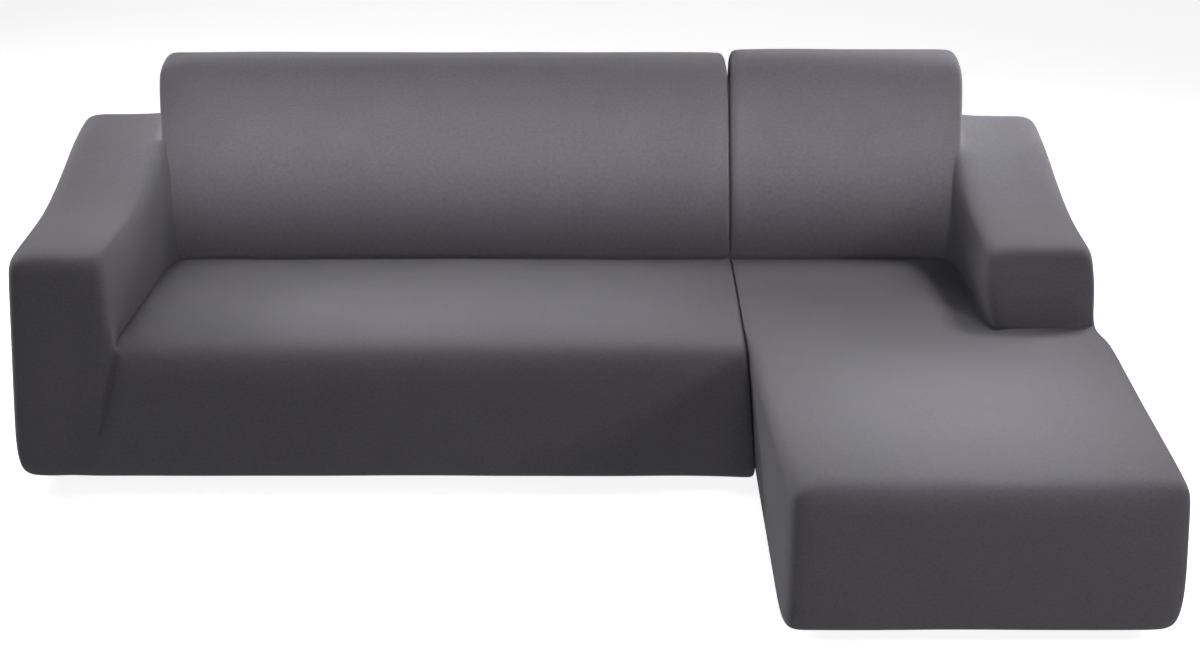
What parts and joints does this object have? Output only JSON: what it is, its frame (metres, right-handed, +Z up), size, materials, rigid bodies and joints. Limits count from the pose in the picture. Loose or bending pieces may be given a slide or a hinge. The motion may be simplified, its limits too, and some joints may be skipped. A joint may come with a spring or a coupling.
{
  "type": "stretch knit slipcover for an l-shaped sofa",
  "caption": "Fitted knit cover for a corner sofa: a main cover with arm, back and seat, and a chaise cover, both hollow and open below.",
  "frame": {"origin": "on the underside of the main seat's cloth, half way along the whole width: where the sofa's seat holds the cover up", "axes": "+X along the sofa towards the chaise, +Y to the back, +Z up"},
  "size_m": [2.8559, 1.7744, 0.9349],
  "materials": {
    "knit": "matt fine stretch knit, dark grey"
  },
  "bodies": {
    "root": {"main_seat": "knit", "main_inside_back": "knit", "main_outside_back": "knit", "main_back_end": "knit", "main_right_end": "knit", "main_arm": "knit", "main_arm_front": "knit", "main_arm_rear": "knit", "main_left_side": "knit", "chaise_seat": "knit", "chaise_inside_back": "knit", "chaise_outside_back": "knit", "chaise_back_end": "knit", "chaise_left_end": "knit", "chaise_arm": "knit", "chaise_arm_front": "knit", "chaise_arm_side": "knit", "chaise_arm_rear": "knit", "chaise_right_side": "knit"}
  },
  "joints": []
}
